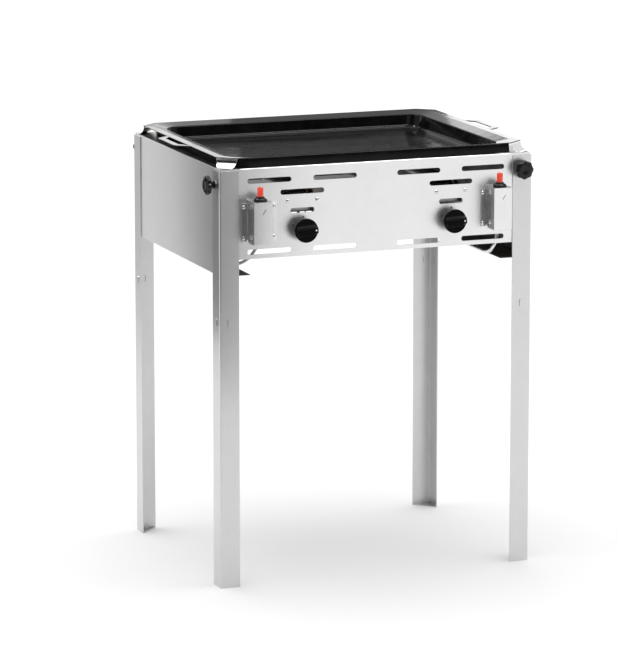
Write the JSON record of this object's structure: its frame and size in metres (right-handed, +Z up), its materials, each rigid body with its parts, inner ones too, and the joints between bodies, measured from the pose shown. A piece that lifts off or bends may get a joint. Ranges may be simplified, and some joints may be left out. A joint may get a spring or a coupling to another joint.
{
  "type": "portable gas grill",
  "caption": "Portable gas grill: sheet-metal burner frame clamped on angle legs with star knobs, gas taps, push igniters and a lift-off enamelled roasting pan with handles.",
  "frame": {"origin": "on the floor under the middle of the frame, at the centre of the bounding box's bottom face", "axes": "+X to the right as seen from the side with the gas knobs, +Y to the back, +Z up"},
  "size_m": [0.694, 0.596, 0.843],
  "materials": {
    "leg_steel": "brushed along its length",
    "panel_steel": "satin",
    "burner_steel": "satin, slightly heat-tinted",
    "zinc_steel": "bright zinc plated",
    "enamel": "glossy black vitreous enamel",
    "black_plastic": "glossy moulded",
    "orange_plastic": "glossy moulded",
    "white_mark": "inlaid dot",
    "ceramic": "unglazed",
    "lead_sleeve": "woven heat-proof sleeve",
    "copper": "drawn copper",
    "brass": "machined",
    "aluminium": "drawn and bent tube"
  },
  "bodies": {
    "root": {"leg_front_left": "leg_steel", "leg_front_right": "leg_steel", "leg_rear_right": "leg_steel", "leg_rear_left": "leg_steel", "foot_plates": "leg_steel", "side_panel_left": "panel_steel", "side_panel_right": "panel_steel", "front_panel": "panel_steel", "rear_panel": "panel_steel", "weld_nuts": "zinc_steel", "tap_body_left": "brass", "tap_body_right": "brass", "tap_nuts": "brass", "burner_left": "burner_steel", "burner_right": "burner_steel", "burner_bracket_left": "panel_steel", "burner_bracket_right": "panel_steel", "burner_rest": "panel_steel", "bracket_screws": "zinc_steel", "injector_left": "brass", "injector_right": "brass", "igniter_box_left": "panel_steel", "igniter_box_right": "panel_steel", "box_screws": "zinc_steel", "igniter_body_left": "black_plastic", "igniter_body_right": "black_plastic", "igniter_collars": "black_plastic", "electrodes": "ceramic", "ignition_leads": "lead_sleeve", "thermocouples": "copper", "gas_tubes": "aluminium", "tube_nuts": "brass", "gas_inlet": "brass", "inlet_bracket": "panel_steel"},
    "pan": {"pan": "enamel", "pan_feet": "zinc_steel"},
    "tap_plug_left": {"tap_plug_left": "brass", "tap_spring_left": "zinc_steel"},
    "gas_knob_left": {"gas_knob_left": "black_plastic", "knob_mark_left": "white_mark", "spindle_left": "zinc_steel"},
    "igniter_button_left": {"igniter_button_left": "orange_plastic"},
    "tap_plug_right": {"tap_plug_right": "brass", "tap_spring_right": "zinc_steel"},
    "gas_knob_right": {"gas_knob_right": "black_plastic", "knob_mark_right": "white_mark", "spindle_right": "zinc_steel"},
    "igniter_button_right": {"igniter_button_right": "orange_plastic"},
    "washer_front_left": {"washer_front_left": "zinc_steel"},
    "star_knob_front_left": {"star_knob_front_left": "black_plastic", "stud_front_left": "zinc_steel"},
    "washer_front_right": {"washer_front_right": "zinc_steel"},
    "star_knob_front_right": {"star_knob_front_right": "black_plastic", "stud_front_right": "zinc_steel"},
    "washer_rear_right": {"washer_rear_right": "zinc_steel"},
    "star_knob_rear_right": {"star_knob_rear_right": "black_plastic", "stud_rear_right": "zinc_steel"},
    "washer_rear_left": {"washer_rear_left": "zinc_steel"},
    "star_knob_rear_left": {"star_knob_rear_left": "black_plastic", "stud_rear_left": "zinc_steel"}
  },
  "joints": [
    {"name": "pan_lift", "type": "slide", "parent": "root", "child": "pan", "axis": [0, 0, 1], "range_m": [0, 0.25]},
    {"name": "gas_tap_left_turn", "type": "hinge", "parent": "root", "child": "tap_plug_left", "pos_m": [-0.1545, -0.26, 0.6997], "axis": [0, -1, 0], "range_deg": [0, 162]},
    {"name": "gas_knob_left_push", "type": "slide", "parent": "tap_plug_left", "child": "gas_knob_left", "axis": [0, 1, 0], "range_m": [0, 0.003], "stiffness_N_per_m": 800, "springref_m": -0.004, "deforming": ["tap_spring_left"]},
    {"name": "igniter_left_press", "type": "slide", "parent": "root", "child": "igniter_button_left", "axis": [0, 0, -1], "range_m": [0, 0.008], "stiffness_N_per_m": 900, "springref_m": -0.006},
    {"name": "gas_tap_right_turn", "type": "hinge", "parent": "root", "child": "tap_plug_right", "pos_m": [0.1545, -0.26, 0.6997], "axis": [0, -1, 0], "range_deg": [0, 162]},
    {"name": "gas_knob_right_push", "type": "slide", "parent": "tap_plug_right", "child": "gas_knob_right", "axis": [0, 1, 0], "range_m": [0, 0.003], "stiffness_N_per_m": 800, "springref_m": -0.004, "deforming": ["tap_spring_right"]},
    {"name": "igniter_right_press", "type": "slide", "parent": "root", "child": "igniter_button_right", "axis": [0, 0, -1], "range_m": [0, 0.008], "stiffness_N_per_m": 900, "springref_m": -0.006},
    {"name": "clamp_front_left_slide", "type": "slide", "parent": "root", "child": "washer_front_left", "axis": [-1, 0, 0], "range_m": [0, 0.01]},
    {"name": "clamp_front_left_turn", "type": "hinge", "parent": "washer_front_left", "child": "star_knob_front_left", "pos_m": [-0.325, -0.237, 0.792], "axis": [-1, 0, 0], "range_deg": [0, 2880]},
    {"name": "clamp_front_right_slide", "type": "slide", "parent": "root", "child": "washer_front_right", "axis": [0, -1, 0], "range_m": [0, 0.01]},
    {"name": "clamp_front_right_turn", "type": "hinge", "parent": "washer_front_right", "child": "star_knob_front_right", "pos_m": [0.302, -0.26, 0.792], "axis": [0, -1, 0], "range_deg": [0, 2880]},
    {"name": "clamp_rear_right_slide", "type": "slide", "parent": "root", "child": "washer_rear_right", "axis": [1, 0, 0], "range_m": [0, 0.01]},
    {"name": "clamp_rear_right_turn", "type": "hinge", "parent": "washer_rear_right", "child": "star_knob_rear_right", "pos_m": [0.325, 0.237, 0.792], "axis": [1, 0, 0], "range_deg": [0, 2880]},
    {"name": "clamp_rear_left_slide", "type": "slide", "parent": "root", "child": "washer_rear_left", "axis": [0, 1, 0], "range_m": [0, 0.01]},
    {"name": "clamp_rear_left_turn", "type": "hinge", "parent": "washer_rear_left", "child": "star_knob_rear_left", "pos_m": [-0.302, 0.26, 0.792], "axis": [0, 1, 0], "range_deg": [0, 2880]}
  ],
  "couplings": [
    {"joint": "clamp_front_left_slide", "follows": "clamp_front_left_turn", "m_per_rad": 0.00019894},
    {"joint": "clamp_front_right_slide", "follows": "clamp_front_right_turn", "m_per_rad": 0.00019894},
    {"joint": "clamp_rear_right_slide", "follows": "clamp_rear_right_turn", "m_per_rad": 0.00019894},
    {"joint": "clamp_rear_left_slide", "follows": "clamp_rear_left_turn", "m_per_rad": 0.00019894}
  ]
}
